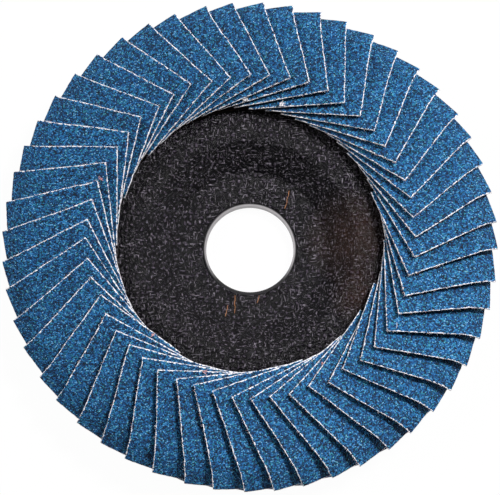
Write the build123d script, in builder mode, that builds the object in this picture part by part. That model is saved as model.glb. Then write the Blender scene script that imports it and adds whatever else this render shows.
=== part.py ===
from build123d import *
from math import asin, cos, degrees, radians, sin, sqrt, tan
import os
import random

# Flap disc for an angle grinder: overlapping flaps of abrasive cloth, set like a fan
# in a ring of resin on a dished glass-fibre backing plate with a steel bore ring.
# Millimetres. The bore axis is Z, the back of the bore ring is at Z = 0,
# and the abrasive side looks along +Z.

# Driving dimensions of the whole disc
disc_diameter = 125.0
bore_diameter = 22.23

# Steel bore ring: a pressed eyelet with a flange on the back of the hub
ring_wall = 0.7
ring_flange_diameter = 34.0
ring_flange_thickness = 0.6
ring_recess = 0.3
ring_fit = 0.05

# Backing plate: one pressed disc of glass-fibre laminate, dished at the hub, whose
# front falls gently from the crown to a shoulder and more steeply to the rim
plate_thickness = 2.6
hub_flat_diameter = 38.5
dish_slope_width = 8.0
dish_depth = 6.9
hub_fillet = 2.0
crown_fillet = 3.0
crown_slope = 13.0
rim_width = 4.0
rim_slope = 18.0
flap_overhang = 5.5

# Ring of resin that carries the flaps, from inside their corners to the shoulder
bed_thickness = 0.8
bed_lead = 6.0
bed_margin = 1.0
bed_gap = 0.3

# Flaps of abrasive cloth
flap_count = 52
flap_thickness = 0.85
flap_width = 24.0
flap_gap = 0.1
flap_reach = 21.5
flap_lean = 31.5
flap_turn = 4.0
inner_side_angle = 93.5
outer_side_angle = 84.5
cloth_slope = 9.0
bend_overhang = 1.0
bend_radius = 10.0
cloth_rim_slope = 36.0

# The ring of flaps sits a little off centre, and no two flaps lie quite alike
off_centre = 1.4
off_azimuth = 66.0
fan_swing = 0.7
corner_scatter = 0.7
azimuth_scatter = 0.3
scatter_seed = 52
first_corner = -13.8

# Sizes that follow from those above
disc_radius = disc_diameter / 2
bore_radius = bore_diameter / 2
sleeve_radius = bore_radius + ring_wall
hub_back = ring_flange_thickness
hub_front = hub_back + plate_thickness
sleeve_top = hub_front - ring_recess
pitch = 360 / flap_count
crown_radius = hub_flat_diameter / 2 + dish_slope_width
crown_front = hub_front + dish_depth
plate_radius = disc_radius - flap_overhang
shoulder_radius = plate_radius - rim_width
shoulder_front = crown_front - (shoulder_radius - crown_radius) * tan(radians(crown_slope))
rim_front = shoulder_front - rim_width * tan(radians(rim_slope))
corner_ring_radius = disc_radius - flap_reach
bed_inner_radius = corner_ring_radius - bed_lead
bed_outer_radius = shoulder_radius - bed_margin
bend_start = shoulder_radius + bend_overhang
bend_centre = bend_start - bend_radius * sin(radians(cloth_slope))
bend_end = bend_centre + bend_radius * sin(radians(cloth_rim_slope))
nearest_corner = corner_ring_radius - off_centre - corner_scatter
closest_pitch = pitch * (1 - radians(fan_swing)) - 2 * azimuth_scatter


def crown_height(radius):
    """Height of the front of the plate between its crown and its shoulder."""
    return crown_front - (radius - crown_radius) * tan(radians(crown_slope))


def cloth_rise(x):
    """Height of the cloth's outer face over its bend line, x from the bore axis."""
    if x < bend_start:
        return (bend_start - x) * tan(radians(cloth_slope))
    if x > bend_end:
        return cloth_rise(bend_end) - (x - bend_end) * tan(radians(cloth_rim_slope))
    return sqrt(bend_radius**2 - (x - bend_centre) ** 2) - bend_radius * cos(radians(cloth_slope))


def on_cloth(point):
    """A corner given in plan, as a point in the tilted plane of the cloth."""
    drop = cloth_rise(point.X) * sin(radians(tilt))
    return (point.X, (point.Y - drop) / cos(radians(tilt)))


def plan_direction(angle):
    """Unit vector in plan, angle in degrees from the flap's middle radius."""
    return Vector(1, 0).rotate(Axis.Z, angle)


def flap_corners(corner_radius):
    """The four corners in plan: leading inner, leading outer, trailing outer, trailing inner."""
    leading_inner = plan_direction(flap_turn - flap_lean) * corner_radius
    leading_length = sqrt(disc_radius**2 - (corner_radius * sin(radians(flap_lean))) ** 2)
    leading_length -= corner_radius * cos(radians(flap_lean))
    leading_outer = leading_inner + plan_direction(flap_turn) * leading_length
    outer_side = flap_width / sin(radians(outer_side_angle))
    trailing_outer = leading_outer + plan_direction(flap_turn + outer_side_angle) * outer_side
    inner_side = flap_width / sin(radians(inner_side_angle))
    trailing_inner = leading_inner + plan_direction(flap_turn + inner_side_angle) * inner_side
    return leading_inner, leading_outer, trailing_outer, trailing_inner


def cloth_tilt():
    """Fall of the cloth from its cut edge to its glued side, in degrees.

    Each flap leans on the one before it, so their spacing where they crowd closest,
    at the trailing inner corners, leaves room for one thickness of cloth.
    """
    closest_step = radians(closest_pitch) * flap_corners(nearest_corner)[3].length
    return degrees(asin((flap_thickness + flap_gap) / closest_step))


def cloth_level():
    """Height of the bend line that seats the lowest trailing inner corner over the resin."""
    seat = flap_corners(nearest_corner)[3]
    along = on_cloth(seat)[1]
    underside = cloth_rise(seat.X) - flap_thickness / cos(radians(cloth_slope))
    seat_height = crown_height(seat.length) + bed_thickness + bed_gap
    return seat_height + along * sin(radians(tilt)) - underside * cos(radians(tilt))


def make_flap(azimuth, corner_radius):
    """One flap: a bent strip of cloth of even thickness, cut square to its face."""
    outward = Vector(1, 0, 0).rotate(Axis.Z, azimuth)
    across = Vector(0, cos(radians(tilt)), -sin(radians(tilt))).rotate(Axis.Z, azimuth)
    cloth_normal = outward.cross(across)
    origin = Vector(0, 0, flap_level)
    corners = [on_cloth(point) for point in flap_corners(corner_radius)]
    strip_start = corners[3][0] - flap_thickness
    strip_end = disc_radius + flap_thickness

    with BuildPart() as flap:
        with BuildSketch(Plane(origin, x_dir=outward, z_dir=-across)):
            with BuildLine():
                flat = Line((strip_start, cloth_rise(strip_start)), (bend_start, 0))
                bend = JernArc(flat @ 1, flat % 1, bend_radius, cloth_slope - cloth_rim_slope)
                Line(bend @ 1, (strip_end, cloth_rise(strip_end)))
                offset(amount=flap_thickness, side=Side.RIGHT)
            make_face()
        extrude(amount=disc_radius, both=True)
        with BuildSketch(Plane(origin, x_dir=outward, z_dir=cloth_normal)):
            with BuildLine():
                Polyline(*corners, close=True)
            make_face()
        extrude(amount=disc_radius, both=True, mode=Mode.INTERSECT)
    return flap


os.makedirs("parts", exist_ok=True)

# Bore ring
with BuildPart() as bore_ring:
    with BuildSketch(Plane.XZ):
        with BuildLine():
            Polyline(
                (bore_radius, 0),
                (ring_flange_diameter / 2, 0),
                (ring_flange_diameter / 2, ring_flange_thickness),
                (sleeve_radius, ring_flange_thickness),
                (sleeve_radius, sleeve_top),
                (bore_radius, sleeve_top),
                close=True,
            )
        make_face()
    revolve(axis=Axis.Z)
bore_ring.part.label = "bore_ring"
export_step(bore_ring.part, "parts/bore_ring.step")

# Backing plate
with BuildPart() as backing_plate:
    with BuildSketch(Plane.XZ) as plate_section:
        with BuildLine():
            Polyline(
                (sleeve_radius + ring_fit, hub_front),
                (hub_flat_diameter / 2, hub_front),
                (crown_radius, crown_front),
                (shoulder_radius, shoulder_front),
                (plate_radius, rim_front),
            )
            offset(amount=plate_thickness, side=Side.RIGHT, kind=Kind.INTERSECTION)
        make_face()
        hub_corner = plate_section.vertices().sort_by_distance((hub_flat_diameter / 2, hub_front))[0]
        fillet(hub_corner, radius=hub_fillet)
        crown_corner = plate_section.vertices().sort_by(Axis.Y)[-1]
        fillet(crown_corner, radius=crown_fillet)
    revolve(axis=Axis.Z)
backing_plate.part.label = "backing_plate"
export_step(backing_plate.part, "parts/backing_plate.step")

# Adhesive bed, cast on the crown of the plate under the glued sides of the flaps
with BuildPart() as adhesive_bed:
    with BuildSketch(Plane.XZ):
        with BuildLine():
            Line(
                (bed_inner_radius, crown_height(bed_inner_radius)),
                (bed_outer_radius, crown_height(bed_outer_radius)),
            )
            offset(amount=bed_thickness, side=Side.LEFT)
        make_face()
    revolve(axis=Axis.Z)
adhesive_bed.part.label = "adhesive_bed"
export_step(adhesive_bed.part, "parts/adhesive_bed.step")

# Flaps
tilt = cloth_tilt()
flap_level = cloth_level()
scatter = random.Random(scatter_seed)
for number in range(flap_count):
    place = first_corner + number * pitch
    swing = fan_swing * sin(radians(off_azimuth - place))
    azimuth = place + flap_lean - flap_turn + swing + scatter.uniform(-azimuth_scatter, azimuth_scatter)
    shift = off_centre * cos(radians(off_azimuth - place)) + scatter.uniform(-corner_scatter, corner_scatter)
    flap = make_flap(azimuth, corner_ring_radius + shift)
    flap.part.label = f"flap_{number + 1:02d}"
    export_step(flap.part, f"parts/{flap.part.label}.step")
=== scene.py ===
# %% [markdown]
# # Dressing a flap disc
# A flap disc is a grinding wheel made of cloth: strips of abrasive cloth stand in resin
# on a pressed glass-fibre plate, each one lying on the strip before it. The solids of
# the disc are ready and come in as a fixed frame. This lesson gives them what they
# lack: the grit, the frayed cut edges, the weave of the plate, the light and the camera.

# %% The frame
import bmesh
import bpy
import math
import random
from mathutils import Matrix, Vector, geometry, noise
from mathutils.bvhtree import BVHTree


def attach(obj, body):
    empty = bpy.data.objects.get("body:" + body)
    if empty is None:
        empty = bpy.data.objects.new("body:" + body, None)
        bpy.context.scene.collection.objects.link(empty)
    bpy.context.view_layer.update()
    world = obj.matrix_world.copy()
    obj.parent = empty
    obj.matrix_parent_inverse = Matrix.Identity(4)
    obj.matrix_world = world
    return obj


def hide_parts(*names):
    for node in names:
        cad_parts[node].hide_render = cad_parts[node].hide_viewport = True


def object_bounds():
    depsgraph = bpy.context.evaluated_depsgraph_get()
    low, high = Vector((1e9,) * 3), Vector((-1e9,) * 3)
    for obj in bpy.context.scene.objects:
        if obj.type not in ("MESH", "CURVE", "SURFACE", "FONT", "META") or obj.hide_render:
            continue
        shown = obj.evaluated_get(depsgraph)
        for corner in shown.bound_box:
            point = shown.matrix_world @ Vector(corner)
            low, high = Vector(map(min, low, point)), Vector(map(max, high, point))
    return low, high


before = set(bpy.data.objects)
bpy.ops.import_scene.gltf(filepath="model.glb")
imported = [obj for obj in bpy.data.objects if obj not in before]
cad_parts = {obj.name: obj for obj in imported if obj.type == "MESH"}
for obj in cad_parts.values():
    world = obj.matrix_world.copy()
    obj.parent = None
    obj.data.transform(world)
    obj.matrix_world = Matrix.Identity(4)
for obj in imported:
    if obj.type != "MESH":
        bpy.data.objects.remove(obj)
cad_low, cad_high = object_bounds()
MM = 0.001
print("frame:", len(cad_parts), "solids, box in mm", [round(v / MM, 2) for v in cad_high - cad_low])

# %% [markdown]
# ## Helpers for finishes and pieces
# Colours are easiest to judge as screen colours, which Blender wants as linear values.
# A material is a graph of nodes, so one helper adds any node with its settings and
# links, and the finishes below read like lists of what goes into them. Sockets go by
# name, or by number where the names repeat, as in the Math and Mix nodes.

# %% Colour and node helpers
MIX_FACTOR, MIX_FIRST, MIX_SECOND, MIX_RESULT = 0, 6, 7, 2


def linear(code):
    """An sRGB hex colour as linear RGBA."""
    parts = [int(code[i:i + 2], 16) / 255 for i in (0, 2, 4)]
    return [c / 12.92 if c <= 0.04045 else ((c + 0.055) / 1.055) ** 2.4 for c in parts] + [1.0]


def add(material, kind, settings=None, inputs=None, links=None, stops=None):
    """Adds one node: settings are its own fields, inputs its socket values, links its feeds.

    Stops are the colours of a colour ramp, as pairs of place and hex code.
    """
    node = material.node_tree.nodes.new(kind)
    for field, value in (settings or {}).items():
        setattr(node, field, value)
    for socket, value in (inputs or {}).items():
        node.inputs[socket].default_value = value
    for socket, source in (links or {}).items():
        material.node_tree.links.new(source, node.inputs[socket])
    for index, (position, code) in enumerate(stops or []):
        elements = node.color_ramp.elements
        element = elements[index] if index < 2 else elements.new(position)
        element.position = position
        element.color = linear(code)
    return node


def new_finish(name):
    """An empty material, and the object's coordinates in metres."""
    material = bpy.data.materials.new(name)
    material.use_nodes = True
    material.node_tree.nodes.clear()
    place = add(material, "ShaderNodeTexCoord").outputs["Object"]
    return material, place


# %% Mesh helpers
RAY_HEIGHT = 100 * MM


def surface_of(solid):
    """A solid's faces, ready to be hit by rays."""
    return BVHTree.FromPolygons([v.co for v in solid.vertices], [p.vertices for p in solid.polygons])


def point_below(surface, x, y):
    """The highest point of a surface at a place in plan, or None beside it."""
    return surface.ray_cast(Vector((x, y, RAY_HEIGHT)), Vector((0, 0, -1)))[0]


def make_object(bm, name, finishes):
    """A finished mesh as an object at the origin."""
    mesh = bpy.data.meshes.new(name)
    bm.to_mesh(mesh)
    bm.free()
    for finish in finishes:
        mesh.materials.append(finish)
    item = bpy.data.objects.new(name, mesh)
    bpy.context.collection.objects.link(item)
    return item


print("helpers ready")

# %% [markdown]
# ## The grit
# The abrasive is zirconia grain in blue resin, coated on cloth and baked. To the eye it
# is a dull blue sand: grain tips catch the light, the hollows between them lie in shade,
# and the blue drifts from strip to strip. A Voronoi pattern at the size of the grain gives
# the tips a painted highlight and the hollows painted shade, a slow noise the drift, and a
# Bump node the relief. Along the cut edges the coat chips off and the pale cloth shows, which an attribute of the
# mesh places.

# %% Blue zirconia grit
GRAIN = 0.32 * MM
grit, place = new_finish("zirconia_grit_in_blue_resin")
grains = add(grit, "ShaderNodeTexVoronoi", {"feature": "F1"}, {"Scale": 1 / GRAIN}, {"Vector": place})
drift = add(grit, "ShaderNodeTexNoise", inputs={"Scale": 1 / (5 * MM), "Detail": 3.0, "Roughness": 0.6},
            links={"Vector": place})
# Painted highlight and shade: the grain tips come out lighter and the hollows between them darker in the colour;
# the same pattern drives the bump.
grain_rise_and_painted_light = add(grit, "ShaderNodeMapRange", inputs={"From Max": 0.75, "To Min": 1.0, "To Max": 0.0},
          links={"Value": grains.outputs["Distance"]})
pick = add(grit, "ShaderNodeSeparateColor", links={"Color": grains.outputs["Color"]})
body = add(grit, "ShaderNodeMath", {"operation": "MULTIPLY"}, {1: 0.72}, {0: pick.outputs["Red"]})
tone = add(grit, "ShaderNodeMath", {"operation": "MULTIPLY_ADD"}, {1: 0.28},
           {0: grain_rise_and_painted_light.outputs["Result"], 2: body.outputs[0]})
blues = add(grit, "ShaderNodeValToRGB", links={"Fac": tone.outputs[0]}, stops=[
    (0.1, "041428"), (0.97, "b0d9f4"), (0.34, "0b3763"), (0.58, "165fa0"), (0.78, "368fc9")])
teals = add(grit, "ShaderNodeValToRGB", links={"Fac": tone.outputs[0]}, stops=[
    (0.1, "04181f"), (0.97, "b4e6e0"), (0.34, "084653"), (0.58, "147486"), (0.78, "3aa2a4")])
greenish = add(grit, "ShaderNodeMapRange", inputs={"From Min": 0.65, "From Max": 0.95, "To Max": 0.7},
               links={"Value": pick.outputs["Green"]})
hue = add(grit, "ShaderNodeMix", {"data_type": "RGBA"}, links={
    MIX_FACTOR: greenish.outputs["Result"], MIX_FIRST: blues.outputs["Color"], MIX_SECOND: teals.outputs["Color"]})
shade = add(grit, "ShaderNodeAttribute", {"attribute_name": "shade"})
lift = add(grit, "ShaderNodeMath", {"operation": "MULTIPLY_ADD"}, {1: 0.5, 2: 0.75}, {0: drift.outputs["Fac"]})
lifted = add(grit, "ShaderNodeMath", {"operation": "MULTIPLY"}, links={
    0: lift.outputs[0], 1: shade.outputs["Fac"]})
blue = add(grit, "ShaderNodeMix", {"data_type": "RGBA", "blend_type": "MULTIPLY"}, {MIX_FACTOR: 1.0},
           {MIX_FIRST: hue.outputs[MIX_RESULT], MIX_SECOND: lifted.outputs[0]})
edge = add(grit, "ShaderNodeAttribute", {"attribute_name": "edge_mm"})
chips = add(grit, "ShaderNodeTexNoise", inputs={"Scale": 1 / (0.7 * MM), "Detail": 4.0, "Roughness": 0.75},
            links={"Vector": place})
reach = add(grit, "ShaderNodeMapRange", inputs={"From Min": 0.42, "From Max": 0.62, "To Max": 0.3},
            links={"Value": chips.outputs["Fac"]})
bare = add(grit, "ShaderNodeMath", {"operation": "LESS_THAN"}, links={
    0: edge.outputs["Fac"], 1: reach.outputs["Result"]})
coat = add(grit, "ShaderNodeMix", {"data_type": "RGBA"}, {MIX_SECOND: linear("f2f0f5")},
           {MIX_FACTOR: bare.outputs[0], MIX_FIRST: blue.outputs[MIX_RESULT]})
relief = add(grit, "ShaderNodeBump", inputs={"Strength": 0.9, "Distance": 0.14 * MM},
             links={"Height": grain_rise_and_painted_light.outputs["Result"]})
sand = add(grit, "ShaderNodeBsdfPrincipled", inputs={"Roughness": 0.75, "IOR": 1.5, "Specular IOR Level": 0.3},
           links={"Base Color": coat.outputs[MIX_RESULT], "Normal": relief.outputs["Normal"]})
add(grit, "ShaderNodeOutputMaterial", links={"Surface": sand.outputs["BSDF"]})
print("finish:", grit.name, "grain", GRAIN / MM, "mm")

# %% [markdown]
# ## The cut edges
# Under the grit is a heavy polyester-cotton cloth, filled with a salmon-coloured size.
# Where it is cut it frays: the upper part of the cut is off-white, blotched pink, and
# never quite even. Lower down the cut is coloured near-black, painted shade for the dark
# line beside each white one, with some resin soaked into the cloth as well. Hairs of the cloth stand out.

# %% Frayed cloth
cloth, place = new_finish("cut_polyester_cotton_cloth")
blotch = add(cloth, "ShaderNodeTexNoise", inputs={"Scale": 1 / (1.6 * MM), "Detail": 3.0, "Roughness": 0.65},
             links={"Vector": place})
yarn = add(cloth, "ShaderNodeTexNoise", inputs={"Scale": 1 / (0.3 * MM), "Detail": 2.0},
           links={"Vector": place})
mixed = add(cloth, "ShaderNodeMath", {"operation": "MULTIPLY_ADD"}, {1: 0.35, 2: -0.175},
            {0: yarn.outputs["Fac"]})
spread = add(cloth, "ShaderNodeMath", {"operation": "ADD"}, links={
    0: mixed.outputs[0], 1: blotch.outputs["Fac"]})
pale = add(cloth, "ShaderNodeValToRGB", links={"Fac": spread.outputs[0]}, stops=[
    (0.27, "5c4044"), (0.62, "fbfafc"), (0.37, "c8949a"), (0.46, "ece4e8")])
fuzz = add(cloth, "ShaderNodeBump", inputs={"Strength": 0.8, "Distance": 0.1 * MM},
           links={"Height": yarn.outputs["Fac"]})
soft = add(cloth, "ShaderNodeBsdfPrincipled",
           inputs={"Roughness": 0.95, "IOR": 1.5, "Sheen Weight": 0.3, "Sheen Roughness": 0.5},
           links={"Base Color": pale.outputs["Color"], "Normal": fuzz.outputs["Normal"]})
add(cloth, "ShaderNodeOutputMaterial", links={"Surface": soft.outputs["BSDF"]})

# Painted shade: the lower rows of each cut edge are near-black, standing in for the shadow beside each white line,
# with resin soaked into the cloth as well.
soaked_and_shaded, place = new_finish("cut_cloth_painted_shade_and_resin")
stain = add(soaked_and_shaded, "ShaderNodeTexNoise", inputs={"Scale": 1 / (0.9 * MM), "Detail": 3.0},
            links={"Vector": place})
murk = add(soaked_and_shaded, "ShaderNodeValToRGB", links={"Fac": stain.outputs["Fac"]}, stops=[
    (0.35, "0d0c10"), (0.75, "4a3a3c"), (0.58, "1e191c")])
dull = add(soaked_and_shaded, "ShaderNodeBsdfPrincipled", inputs={"Roughness": 0.7, "IOR": 1.55},
           links={"Base Color": murk.outputs["Color"]})
add(soaked_and_shaded, "ShaderNodeOutputMaterial", links={"Surface": dull.outputs["BSDF"]})


def fibre_finish(name, code, other):
    """The finish of loose fibres, which drifts from one colour to another."""
    material, place = new_finish(name)
    tint = add(material, "ShaderNodeTexNoise", inputs={"Scale": 1 / (2 * MM)}, links={"Vector": place})
    colour = add(material, "ShaderNodeMix", {"data_type": "RGBA"},
                 {MIX_FIRST: linear(code), MIX_SECOND: linear(other)}, {MIX_FACTOR: tint.outputs["Fac"]})
    hair = add(material, "ShaderNodeBsdfPrincipled", inputs={"Roughness": 0.7, "IOR": 1.55},
               links={"Base Color": colour.outputs[MIX_RESULT]})
    add(material, "ShaderNodeOutputMaterial", links={"Surface": hair.outputs["BSDF"]})
    return material


white_fibre = fibre_finish("frayed_polyester_fibre", "ebe7ea", "fbfafc")
pink_fibre = fibre_finish("frayed_sized_fibre", "d2726a", "f0d3d0")
print("finishes:", cloth.name, soaked_and_shaded.name, white_fibre.name, pink_fibre.name)

# %% [markdown]
# ## One strip of cloth
# Each strip starts as a flat grid. Its four corners come from the solid of the same
# strip, and every point of the grid is dropped square onto the bent top of that solid.
# Solidify gives it the cloth's thickness. The cut edge is then split into three rows
# and pushed about a little, because a shear leaves cloth frayed, not planed, and the
# outer end bulges a little. Hairs are thin cones in a row. Real fibres are about
# 0.02 mm thick, too fine for the picture, so these are 0.05 mm.

# %% Reading a strip's outline
UPRIGHT = 0.35
CORNER_MERGE = 0.2 * MM


def strip_axes(mesh):
    """The direction square to the cloth, and two directions in its plane."""
    cut_faces = sorted((f for f in mesh.polygons if abs(f.normal.z) < UPRIGHT), key=lambda f: f.area)
    first = cut_faces[-1].normal.copy()
    second = min((f.normal for f in cut_faces), key=lambda n: abs(n.dot(first)))
    square = first.cross(second).normalized()
    if square.z < 0:
        square.negate()
    return square, first, square.cross(first)


def strip_corners(mesh, axes):
    """The four corners in the plane of the cloth.

    They go round from the leading inner one: leading outer, trailing outer, trailing inner.
    """
    square, first, along = axes
    flat = [Vector((v.co.dot(first), v.co.dot(along))) for v in mesh.vertices]
    ring = []
    for index in geometry.convex_hull_2d(flat):
        if not ring or min((flat[index] - point).length for point in ring) > CORNER_MERGE:
            ring.append(flat[index])
    turns = []
    for i, point in enumerate(ring):
        before = (point - ring[i - 1]).normalized()
        after = (ring[(i + 1) % len(ring)] - point).normalized()
        turns.append((abs(before.x * after.y - before.y * after.x), i))
    corners = [ring[i] for _, i in sorted(turns)[-4:]]
    middle = sum(corners, Vector((0, 0))) / 4
    corners.sort(key=lambda c: math.atan2((c - middle).y, (c - middle).x))
    level = sum((v.co.dot(square) for v in mesh.vertices)) / len(mesh.vertices)
    radii = [(first * c.x + along * c.y + square * level).xy.length for c in corners]
    half = sum(radii) / 4
    start = next(i for i in range(4) if radii[i] < half < radii[(i + 1) % 4])
    return [corners[(start + i) % 4] for i in range(4)]


flap_names = sorted(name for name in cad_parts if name.startswith("flap_"))
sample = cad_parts[flap_names[0]].data
sample_corners = strip_corners(sample, strip_axes(sample))
print("strips:", len(flap_names), "sides of the first in mm",
      [round((sample_corners[i] - sample_corners[i - 1]).length / MM, 2) for i in range(4)])

# %% Making a strip
CLOTH_THICKNESS = 0.85 * MM
LONG_CELLS, CROSS_CELLS = ((64, 26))
CROWDING = 1.7  # brings the rows of the grid closer together at the leading edge
SINK = 0.03 * MM
WAVE = 0.03 * MM
GRID_INSET = 0.0008
ROOT_INSET = 0.004
END_BULGE = 0.35 * MM
BULGE_START = 0.31
HAIRS = 40
HAIR_RADIUS = 0.025 * MM
COAT, CUT, SOAKED_AND_SHADED, WHITE, PINK = range(5)


def wander(seed, travel, depth_mm, step_mm):
    """How far a cut edge wanders sideways at a place along it."""
    return depth_mm * MM * noise.noise(Vector((travel / (step_mm * MM), seed * 7.31, seed * 1.7)))


def grow_hair(bm, root, heading, length, radius, joints, curl, source, finish_index):
    """A hair of one or more thin cones, bending a little from each to the next."""
    heading = heading.normalized()
    step = length / joints
    for joint in range(joints):
        turned = heading.to_track_quat("Z", "Y").to_matrix().to_4x4()
        stand = Matrix.Translation(root + heading * step / 2) @ turned
        thick, thin = radius * (1 - joint / joints * 0.5), radius * (1 - (joint + 1) / joints * 0.5)
        cone = bmesh.ops.create_cone(bm, cap_ends=True, segments=4, radius1=thick, radius2=thin,
                                     depth=step, matrix=stand)
        for face in {face for vert in cone["verts"] for face in vert.link_faces}:
            face.material_index = finish_index
        root = root + heading * step
        heading = (heading + Vector([source.uniform(-curl, curl) for _ in range(3)])).normalized()


def dress_strip(name, number):
    """A frayed strip of abrasive cloth over the solid of that name."""
    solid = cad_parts[name].data
    axes = strip_axes(solid)
    square, first, along = axes
    corners = strip_corners(solid, axes)
    centre = sum(corners, Vector((0, 0))) / 4
    length = (corners[1] - corners[0]).length
    width = (corners[3] - corners[0]).length
    lengthwise = (corners[1] - corners[0]).normalized()
    surface = surface_of(solid)

    def top_at(point):
        """The top of the solid at a point in the plane of the cloth."""
        return surface.ray_cast(first * point.x + along * point.y + square * RAY_HEIGHT, -square)[0]

    bm = bmesh.new()
    edge_mm = bm.verts.layers.float.new("edge_mm")
    shade = bm.verts.layers.float.new("shade")
    depth = bm.verts.layers.float.new("depth")
    bmesh.ops.create_grid(bm, x_segments=LONG_CELLS, y_segments=CROSS_CELLS, size=0.5)
    tone = 0.8 + 0.09 * noise.noise(Vector((number * 0.83, 4.2, 0)))
    for vert in bm.verts:
        s, t = vert.co.x + 0.5, (vert.co.y + 0.5) ** CROWDING
        ragged = wander(number, s * length, 0.10, 1.7) + wander(number + 90, s * length, 0.06, 0.5)
        bowed = wander(number + 40, s * length, 0.16, 9)
        inner_ragged = wander(number + 200, t * width, 0.09, 1.5)
        end_ragged = wander(number + 300, t * width, 0.12, 0.9)
        bulge = END_BULGE * min(t / BULGE_START, 1) ** 0.6 * s ** 8
        leading = corners[0].lerp(corners[1], s)
        trailing = corners[3].lerp(corners[2], s)
        across = (trailing - leading).normalized()
        point = leading.lerp(trailing, t).lerp(centre, GRID_INSET)
        hit = top_at(point)
        point = point + across * (ragged + bowed) * (1 - t) ** 3
        point = point + lengthwise * (inner_ragged * (1 - s) ** 6 - abs(end_ragged) * s ** 30 + bulge)
        level = hit.dot(square) if hit else 0.0
        wave = WAVE * noise.noise(Vector((s * 3.1, t * 2.3, number * 3.7)))
        vert.co = first * point.x + along * point.y + square * (level + wave - SINK)
        vert[edge_mm] = min(t * width, s * length) / MM
        vert[shade] = tone
    grown = bmesh.ops.solidify(bm, geom=bm.faces[:], thickness=CLOTH_THICKNESS - 2 * SINK)
    for vert in (item for item in grown["geom"] if isinstance(item, bmesh.types.BMVert)):
        vert[depth] = 1.0
    bmesh.ops.recalc_face_normals(bm, faces=bm.faces)

    posts = [e for e in bm.edges if abs(e.verts[0][depth] - e.verts[1][depth]) > 0.5]
    bmesh.ops.subdivide_edges(bm, edges=posts, cuts=2)
    bm.normal_update()
    source = random.Random(1000 + number)
    for vert in bm.verts:
        if 0.2 < vert[depth] < 0.8:
            out = vert.normal - square * vert.normal.dot(square)
            push = source.uniform(-0.02, 0.1) if vert[depth] < 0.5 else -0.03
            vert.co += out.normalized() * push * MM
    # The lower rows of the cut take the near-black finish, painted shade for the dark line beside each white one.
    for face in bm.faces:
        layer = sum(v[depth] for v in face.verts) / len(face.verts)
        face.material_index = COAT if layer < 0.1 else CUT if layer < 0.4 else SOAKED_AND_SHADED
        face.smooth = layer < 0.1 or layer > 0.9

    for _ in range(HAIRS):
        on_side = source.random() < 0.65
        travel = source.random() ** 1.5
        end = corners[1] if on_side else corners[0].lerp(corners[3], 0.4)
        hit = top_at(corners[0].lerp(end, travel).lerp(centre, ROOT_INSET))
        if hit is None:
            continue
        inward = (corners[3] - corners[0]) if on_side else (corners[1] - corners[0])
        out = -(first * inward.x + along * inward.y).normalized()
        root = hit - square * source.uniform(0.05, 0.35) * MM
        heading = out + square.cross(out) * source.uniform(-1.4, 1.4) + square * source.uniform(-0.1, 0.5)
        grow_hair(bm, root, heading, source.uniform(0.15, 0.6) * MM, HAIR_RADIUS, 2, 0.5, source,
                  WHITE if source.random() < 0.65 else PINK)

    piece = make_object(bm, name + "_cloth", (grit, cloth, soaked_and_shaded, white_fibre, pink_fibre))
    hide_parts(name)
    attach(piece, "root")
    return piece, surface


strips = [dress_strip(name, number) for number, name in enumerate(flap_names)]
print("strips dressed:", len(strips), "faces in each", len(strips[0][0].data.polygons))

# %% [markdown]
# ## Tufts and stray threads
# Here and there the shear has pulled a tuft out of a corner, or left a longer thread on
# the disc. Each one has a place of its own, so they are listed: where, how many hairs,
# how long, which way, and white or pink. They lie on whatever strip is uppermost there.

# %% Tufts and threads
TUFT_WHITE, TUFT_PINK = range(2)
TUFT_RADIUS = 0.08 * MM
TUFTS = [
    ((-0.8, 36.7), 16, 1.6, (-0.8, 0.3), TUFT_WHITE),
    ((7.7, 35.4), 14, 1.5, (1.0, 0.1), TUFT_WHITE),
    ((-12.2, -32.7), 14, 1.6, (1.0, -0.4), TUFT_WHITE),
    ((-11.6, -32.9), 8, 1.4, (1.0, -0.2), TUFT_PINK),
    ((18.1, -30.6), 8, 0.9, (0.5, -0.8), TUFT_PINK),
    ((-37.7, 15.7), 8, 0.9, (1.0, 0.3), TUFT_PINK),
    ((36.5, -22.2), 1, 3.0, (0.4, 1.0), TUFT_WHITE),
    ((27.6, 19.2), 9, 1.2, (-1.0, 0.35), TUFT_WHITE),
    ((59.6, -20.6), 2, 2.2, (0.7, -0.6), TUFT_WHITE),
    ((-24.4, -23.6), 7, 0.9, (1.0, 0.6), TUFT_PINK),
]
tuft_source = random.Random(11)
tufts = bmesh.new()
for (x, y), count, reach_mm, (dx, dy), finish_index in TUFTS:
    hits = [point_below(surface, x * MM, y * MM) for _, surface in strips]
    ground = max((hit for hit in hits if hit is not None), key=lambda hit: hit.z, default=None)
    for _ in range(count if ground is not None else 0):
        spread = Vector([tuft_source.uniform(-0.35, 0.35) * MM for _ in range(2)] + [0.25 * MM])
        heading = Vector((dx + tuft_source.uniform(-0.5, 0.5), dy + tuft_source.uniform(-0.5, 0.5), 0.4))
        root = ground + (spread if count > 1 else Vector((0, 0, 0.06 * MM)))
        grow_hair(tufts, root, heading, tuft_source.uniform(0.5, 1.0) * reach_mm * MM, TUFT_RADIUS, 5, 0.35,
                  tuft_source, finish_index)
frayed_tufts = make_object(tufts, "frayed_tufts", (white_fibre, pink_fibre))
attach(frayed_tufts, "root")
print("tufts:", len(TUFTS), "faces", len(frayed_tufts.data.polygons))

# %% [markdown]
# ## The backing plate
# The plate is glass-fibre fabric, soaked in black phenolic resin and pressed hot. The
# press leaves the weave standing in the surface. A plane through the axis cuts the
# solid to its section, the section is divided finely where it shows, and a spin turns
# it into a plate again, this time with enough points to carry lumps and creases.

# %% Black phenolic laminate
YARN = 1.35 * MM
FLECKS_MM = ((0.3, 1.4), (1.4, 0.3))
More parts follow.
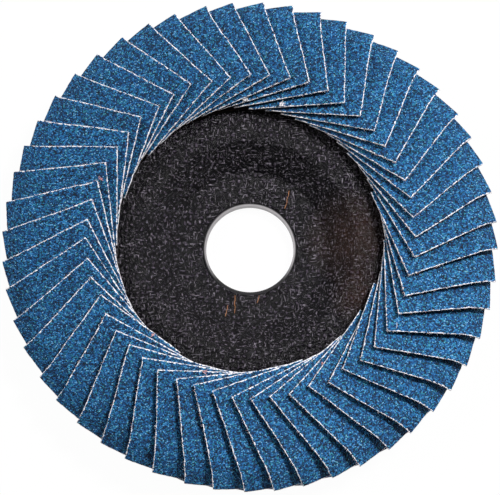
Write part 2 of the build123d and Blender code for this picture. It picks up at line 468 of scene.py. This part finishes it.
# Where each brown stain lies, how far it is full, where it ends, and its strength
STAINS_MM = ((25.0, 3.0, 2.0, 13.0, 0.6), (-5.9, -16.6, 0.5, 5.0, 0.8), (28.0, -12.0, 1.0, 8.0, 0.5))
STAIN_HEIGHT = 9 * MM
laminate, place = new_finish("glass_fabric_in_black_phenolic_resin")
skew = add(laminate, "ShaderNodeTexNoise", inputs={"Scale": 1 / (5 * MM), "Detail": 2.0},
           links={"Vector": place})
skewed = add(laminate, "ShaderNodeVectorMath", {"operation": "MULTIPLY_ADD"}, {1: (1.6 * MM, 1.6 * MM, 0.0)},
             {0: skew.outputs["Color"], 2: place})
skewed_axes = add(laminate, "ShaderNodeSeparateXYZ", links={"Vector": skewed.outputs[0]})
waves, bulges = [], []
for axis in ("X", "Y"):
    turn = add(laminate, "ShaderNodeMath", {"operation": "MULTIPLY"}, {1: math.pi / YARN},
               {0: skewed_axes.outputs[axis]})
    wave = add(laminate, "ShaderNodeMath", {"operation": "SINE"}, links={0: turn.outputs[0]})
    swell = add(laminate, "ShaderNodeMath", {"operation": "ABSOLUTE"}, links={0: wave.outputs[0]})
    waves.append(wave)
    bulges.append(add(laminate, "ShaderNodeMath", {"operation": "POWER"}, {1: 2.0}, {0: swell.outputs[0]}))
over = add(laminate, "ShaderNodeMath", {"operation": "MULTIPLY"}, links={
    0: waves[0].outputs[0], 1: waves[1].outputs[0]})
warp_on_top = add(laminate, "ShaderNodeMath", {"operation": "GREATER_THAN"}, {1: 0.0}, {0: over.outputs[0]})
yarns = []
for this, other in ((0, 1), (1, 0)):
    end = add(laminate, "ShaderNodeMath", {"operation": "POWER"}, {1: 0.35}, {0: bulges[other].outputs[0]})
    yarns.append(add(laminate, "ShaderNodeMath", {"operation": "MULTIPLY"}, links={
        0: bulges[this].outputs[0], 1: end.outputs[0]}))
weave = add(laminate, "ShaderNodeMix", {"data_type": "FLOAT"}, links={
    0: warp_on_top.outputs[0], 2: yarns[0].outputs[0], 3: yarns[1].outputs[0]})
flood = add(laminate, "ShaderNodeTexNoise", inputs={"Scale": 1 / (2.2 * MM), "Detail": 3.0, "Roughness": 0.6},
            links={"Vector": place})
bare_yarn = add(laminate, "ShaderNodeMapRange", inputs={"From Min": 0.4, "From Max": 0.62},
                links={"Value": flood.outputs["Fac"]})
standing = add(laminate, "ShaderNodeMath", {"operation": "MULTIPLY"}, links={
    0: weave.outputs[0], 1: bare_yarn.outputs["Result"]})
pits = add(laminate, "ShaderNodeTexNoise", inputs={"Scale": 1 / (0.55 * MM), "Detail": 3.0, "Roughness": 0.6},
           links={"Vector": place})
skin = add(laminate, "ShaderNodeMath", {"operation": "MULTIPLY_ADD"}, {1: 1.5},
           {0: pits.outputs["Fac"], 2: standing.outputs[0]})
pressed = add(laminate, "ShaderNodeBump", inputs={"Strength": 1.0, "Distance": 0.38 * MM},
              links={"Height": skin.outputs[0]})
# Painted shade and light: the colour follows the relief, darker in the pits and lighter on the raised yarns.
level = add(laminate, "ShaderNodeMath", {"operation": "MULTIPLY"}, {1: 0.5}, {0: skin.outputs[0]})
dark = add(laminate, "ShaderNodeValToRGB", links={"Fac": level.outputs[0]}, stops=[
    (0.2, "020103"), (0.85, "4a434e"), (0.45, "060508"), (0.65, "17131b")])
stained = dark.outputs["Color"]
# Pale flecks along the yarns: bare glass showing through the resin, and also painted glints that stand in for
# light caught by the weave.
for thick_mm, long_mm in FLECKS_MM:
    stretch = (1 / (thick_mm * MM), 1 / (long_mm * MM), 1 / (0.6 * MM))
    lying = add(laminate, "ShaderNodeVectorMath", {"operation": "MULTIPLY"}, {1: stretch},
                {0: skewed.outputs[0]})
    bits = add(laminate, "ShaderNodeTexNoise", inputs={"Scale": 1.0, "Detail": 1.0},
               links={"Vector": lying.outputs[0]})
    bare_glass_and_glint = add(laminate, "ShaderNodeMapRange", inputs={"From Min": 0.63, "From Max": 0.77, "To Max": 0.6},
                links={"Value": bits.outputs["Fac"]})
    flecked = add(laminate, "ShaderNodeMix", {"data_type": "RGBA"}, {MIX_SECOND: linear("a39ba8")},
                  {MIX_FACTOR: bare_glass_and_glint.outputs["Result"], MIX_FIRST: stained})
    stained = flecked.outputs[MIX_RESULT]
for x, y, inner_mm, outer_mm, most in STAINS_MM:
    away = add(laminate, "ShaderNodeVectorMath", {"operation": "DISTANCE"},
               {1: (x * MM, y * MM, STAIN_HEIGHT)}, {0: skewed.outputs[0]})
    patch = add(laminate, "ShaderNodeMapRange", inputs={
        "From Min": inner_mm * MM, "From Max": outer_mm * MM, "To Min": most, "To Max": 0.0},
        links={"Value": away.outputs["Value"]})
    blotched = add(laminate, "ShaderNodeMath", {"operation": "MULTIPLY"}, links={
        0: patch.outputs["Result"], 1: flood.outputs["Fac"]})
    browned = add(laminate, "ShaderNodeMix", {"data_type": "RGBA"}, {MIX_SECOND: linear("4a3022")},
                  {MIX_FACTOR: blotched.outputs[0], MIX_FIRST: stained})
    stained = browned.outputs[MIX_RESULT]
resin = add(laminate, "ShaderNodeBsdfPrincipled",
            inputs={"Roughness": 0.25, "IOR": 1.5, "Specular IOR Level": 0.25},
            links={"Base Color": stained, "Normal": pressed.outputs["Normal"]})
add(laminate, "ShaderNodeOutputMaterial", links={"Surface": resin.outputs["BSDF"]})
print("finish:", laminate.name, "yarn spacing", YARN / MM, "mm")

# %% The plate's section
FINE, COARSE = ((0.36 * MM, 3 * MM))
SHOWN_RADIUS = 38 * MM
plate_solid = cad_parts["backing_plate"].data
plate_surface = surface_of(plate_solid)

plate = bmesh.new()
plate.from_mesh(plate_solid)
bmesh.ops.remove_doubles(plate, verts=plate.verts, dist=0.001 * MM)
bmesh.ops.bisect_plane(plate, geom=plate.verts[:] + plate.edges[:] + plate.faces[:], dist=0.0005 * MM,
                       plane_co=(0, 0, 0), plane_no=(0, 1, 0), clear_inner=True, clear_outer=True)
bmesh.ops.delete(plate, geom=[v for v in plate.verts if v.co.x < 0], context="VERTS")
bmesh.ops.delete(plate, geom=plate.faces[:], context="FACES_ONLY")
bmesh.ops.dissolve_limit(plate, angle_limit=math.radians(0.5), verts=plate.verts, edges=plate.edges)
print("section: vertices", len(plate.verts), "edges", len(plate.edges))


def on_front(point):
    """Whether a point of the section lies on the side that carries the strips."""
    top = point_below(plate_surface, point.x, 0.0001 * MM)
    return top is not None and abs(top.z - point.z) < 0.1 * MM


for edge_of_section in plate.edges[:]:
    a, b = (v.co for v in edge_of_section.verts)
    middle = (a + b) / 2
    step = FINE if middle.x < SHOWN_RADIUS and on_front(middle) else COARSE
    cuts = math.ceil((b - a).length / step) - 1
    if cuts > 0:
        bmesh.ops.subdivide_edges(plate, edges=[edge_of_section], cuts=cuts)
print("section divided: vertices", len(plate.verts))

# %% Spinning the plate
PLATE_STEPS = 640
bmesh.ops.spin(plate, geom=plate.verts[:] + plate.edges[:], axis=(0, 0, 1), cent=(0, 0, 0),
               angle=math.tau, steps=PLATE_STEPS, use_merge=True)
bmesh.ops.remove_doubles(plate, verts=plate.verts, dist=0.002 * MM)
bmesh.ops.recalc_face_normals(plate, faces=plate.faces)
plate.normal_update()
for vert in plate.verts:
    if vert.co.xy.length < SHOWN_RADIUS:
        lump = noise.noise(vert.co / (4.5 * MM)) * 0.10 + noise.noise(vert.co / (1.6 * MM)) * 0.05
        vert.co += vert.normal * (lump - 0.08) * MM
for face in plate.faces:
    face.smooth = True
pressed_plate = make_object(plate, "pressed_plate", (laminate,))
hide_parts("backing_plate")
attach(pressed_plate, "root")
print("plate: faces", len(pressed_plate.data.polygons))

# %% [markdown]
# ## Strands in the resin
# A few glass strands have come loose from the fabric and were pressed into the surface.
# The resin has stained them orange. Each is a row of short cones laid on the plate.

# %% Stained strands
STRANDS = [((-3.7, -12.0), (-3.9, -16.6)), ((2.3, -12.1), (1.8, -14.0)),
           ((10.0, 15.0), (9.0, 10.4)), ((-5.6, -14.4), (-6.2, -17.4))]
STRAND_CONES = 8
orange = fibre_finish("resin_stained_glass_strand", "cf9460", "7a4024")
strand_source = random.Random(3)
strands = bmesh.new()
for start, end in STRANDS:
    start, end = Vector(start) * MM, Vector(end) * MM
    knots = []
    for step in range(STRAND_CONES + 1):
        stray = Vector([strand_source.uniform(-0.12, 0.12) * MM for _ in range(2)])
        at = start.lerp(end, step / STRAND_CONES) + stray
        knots.append(point_below(plate_surface, at.x, at.y) - Vector((0, 0, 0.02 * MM)))
    for a, b in zip(knots, knots[1:]):
        grow_hair(strands, a, b - a, (b - a).length * 1.1, strand_source.uniform(0.07, 0.13) * MM, 1, 0.0,
                  strand_source, 0)
loose_strands = make_object(strands, "loose_glass_strands", (orange,))
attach(loose_strands, "root")
print("strands:", len(STRANDS))

# %% [markdown]
# ## Ring and resin
# The bore is lined with a stamped steel eyelet, bright zinc over steel, and the strips
# stand in a bed of brown epoxy. Black resin from the pressing has run over the outer
# lip of the eyelet, and the eyelet's top is also coloured dark towards its lower side.
# Their solids are already right, so they only get a finish of their own.

# %% Zinc-plated steel and epoxy
steel, place = new_finish("zinc_plated_pressed_steel")
scuffs = add(steel, "ShaderNodeTexNoise", inputs={"Scale": 1 / (0.8 * MM), "Detail": 4.0},
             links={"Vector": place})
gloss = add(steel, "ShaderNodeMapRange", inputs={"To Min": 0.4, "To Max": 0.6},
            links={"Value": scuffs.outputs["Fac"]})
where = add(steel, "ShaderNodeSeparateXYZ", links={"Vector": place})
flat_place = add(steel, "ShaderNodeVectorMath", {"operation": "MULTIPLY"}, {1: (1, 1, 0)}, {0: place})
from_axis = add(steel, "ShaderNodeVectorMath", {"operation": "LENGTH"}, links={0: flat_place.outputs[0]})
outer_lip = add(steel, "ShaderNodeMapRange", inputs={"From Min": 11.45 * MM, "From Max": 11.7 * MM},
                links={"Value": from_axis.outputs["Value"]})
# The top is also coloured dark towards the lower side (-y) of the eyelet, besides the resin on the outer lip.
low_side = add(steel, "ShaderNodeMapRange", inputs={"From Min": -3 * MM, "From Max": -8 * MM},
               links={"Value": where.outputs["Y"]})
lip_resin_and_lower_dark = add(steel, "ShaderNodeMath", {"operation": "MAXIMUM"}, links={
    0: outer_lip.outputs["Result"], 1: low_side.outputs["Result"]})
at_top = add(steel, "ShaderNodeMath", {"operation": "GREATER_THAN"}, {1: 2.7 * MM}, {0: where.outputs["Z"]})
darkened_top = add(steel, "ShaderNodeMath", {"operation": "MULTIPLY"}, links={
    0: lip_resin_and_lower_dark.outputs[0], 1: at_top.outputs[0]})
zinc = add(steel, "ShaderNodeBsdfPrincipled", inputs={"Base Color": linear("979496"), "Metallic": 1.0},
           links={"Roughness": gloss.outputs["Result"]})
dark_top_finish = add(steel, "ShaderNodeBsdfPrincipled", inputs={
    "Base Color": linear("121014"), "Roughness": 0.4, "IOR": 1.5})
covered = add(steel, "ShaderNodeMixShader", links={
    0: darkened_top.outputs[0], 1: zinc.outputs["BSDF"], 2: dark_top_finish.outputs["BSDF"]})
add(steel, "ShaderNodeOutputMaterial", links={"Surface": covered.outputs[0]})

epoxy, place = new_finish("cast_brown_epoxy")
cloudy = add(epoxy, "ShaderNodeTexNoise", inputs={"Scale": 1 / (2 * MM), "Detail": 3.0}, links={"Vector": place})
brown = add(epoxy, "ShaderNodeValToRGB", links={"Fac": cloudy.outputs["Fac"]}, stops=[
    (0.3, "120d0d"), (0.7, "2e1f1a")])
cast = add(epoxy, "ShaderNodeBsdfPrincipled", inputs={"Roughness": 0.35, "IOR": 1.55},
           links={"Base Color": brown.outputs["Color"]})
add(epoxy, "ShaderNodeOutputMaterial", links={"Surface": cast.outputs["BSDF"]})

for name, finish in (("bore_ring", steel), ("adhesive_bed", epoxy)):
    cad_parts[name].material_slots[0].material = finish
    print("finish:", finish.name, "on", name)

# %% [markdown]
# ## Floor, light and camera
# The disc lies face up on a white table and is seen from above, tipped a little towards
# the camera. The floor shows white to the camera and in reflections and still takes a
# soft shadow. A broad lamp from the upper right, a weaker one from the left and a grey
# sky give each strip its light side and its dark side.

# %% White floor
FLOOR_GLOW = 0.975
FLOOR_GAP = 0.02 * MM
paper, place = new_finish("white_paper")
seen = add(paper, "ShaderNodeLightPath")
seen_or_glossy = add(paper, "ShaderNodeMath", {"operation": "MAXIMUM"}, links={
    0: seen.outputs["Is Camera Ray"], 1: seen.outputs["Is Glossy Ray"]})
seen_any = add(paper, "ShaderNodeMath", {"operation": "MAXIMUM"}, links={
    0: seen_or_glossy.outputs[0], 1: seen.outputs["Is Transmission Ray"]})
share = add(paper, "ShaderNodeMath", {"operation": "MULTIPLY"}, {1: FLOOR_GLOW}, {0: seen_any.outputs[0]})
matt = add(paper, "ShaderNodeBsdfDiffuse", inputs={"Color": linear("e9e9ea")})
glow = add(paper, "ShaderNodeEmission", inputs={"Color": (1, 1, 1, 1), "Strength": 1.0})
blend = add(paper, "ShaderNodeMixShader", links={
    0: share.outputs[0], 1: matt.outputs[0], 2: glow.outputs[0]})
add(paper, "ShaderNodeOutputMaterial", links={"Surface": blend.outputs[0]})

table = bmesh.new()
bmesh.ops.create_grid(table, x_segments=4, y_segments=4, size=3.0)
bmesh.ops.translate(table, verts=table.verts, vec=(0, 0, cad_low.z - FLOOR_GAP))
floor = make_object(table, "floor", (paper,))
print("floor at", round(cad_low.z / MM, 3), "mm")

# %% Lamps and sky
SKY_STRENGTH = 0.12
world = bpy.data.worlds.new("studio")
world.use_nodes = True
sky = world.node_tree.nodes["Background"]
sky.inputs["Color"].default_value = (1, 1, 1, 1)
sky.inputs["Strength"].default_value = SKY_STRENGTH
bpy.context.scene.world = world


def softbox(name, place, size, watts):
    """A square lamp that looks at the middle of the disc."""
    lamp = bpy.data.lights.new(name, "AREA")
    lamp.size = size
    lamp.energy = watts
    holder = bpy.data.objects.new(name, lamp)
    holder.location = place
    holder.rotation_euler = (-Vector(place)).to_track_quat("-Z", "Y").to_euler()
    bpy.context.collection.objects.link(holder)


softbox("key", (0.58, 0.42, 0.92), 0.28, 17.0)
softbox("fill", (-0.9, 0.35, 0.8), 0.5, 7.0)
print("lamps ready")

# %% Camera
ELEVATION = math.radians(80.5)
DISTANCE = 0.8
SENSOR_MM = 36
PICTURE_WIDTH = 0.12635
middle = Vector((0, 0, 0.008))
back = Vector((0, -math.cos(ELEVATION), math.sin(ELEVATION)))
lens = bpy.data.cameras.new("camera")
lens.sensor_width = SENSOR_MM
lens.lens = SENSOR_MM * DISTANCE / PICTURE_WIDTH
lens.clip_start, lens.clip_end = 0.01, 20
lens.shift_x, lens.shift_y = 0.0003, -0.0036
camera = bpy.data.objects.new("camera", lens)
camera.location = middle + back * DISTANCE
camera.rotation_euler = (-back).to_track_quat("-Z", "Y").to_euler()
bpy.context.collection.objects.link(camera)
bpy.context.scene.camera = camera
bpy.context.scene.view_settings.view_transform = "Standard"
print("camera at", [round(v, 3) for v in camera.location], "lens", round(lens.lens, 1))
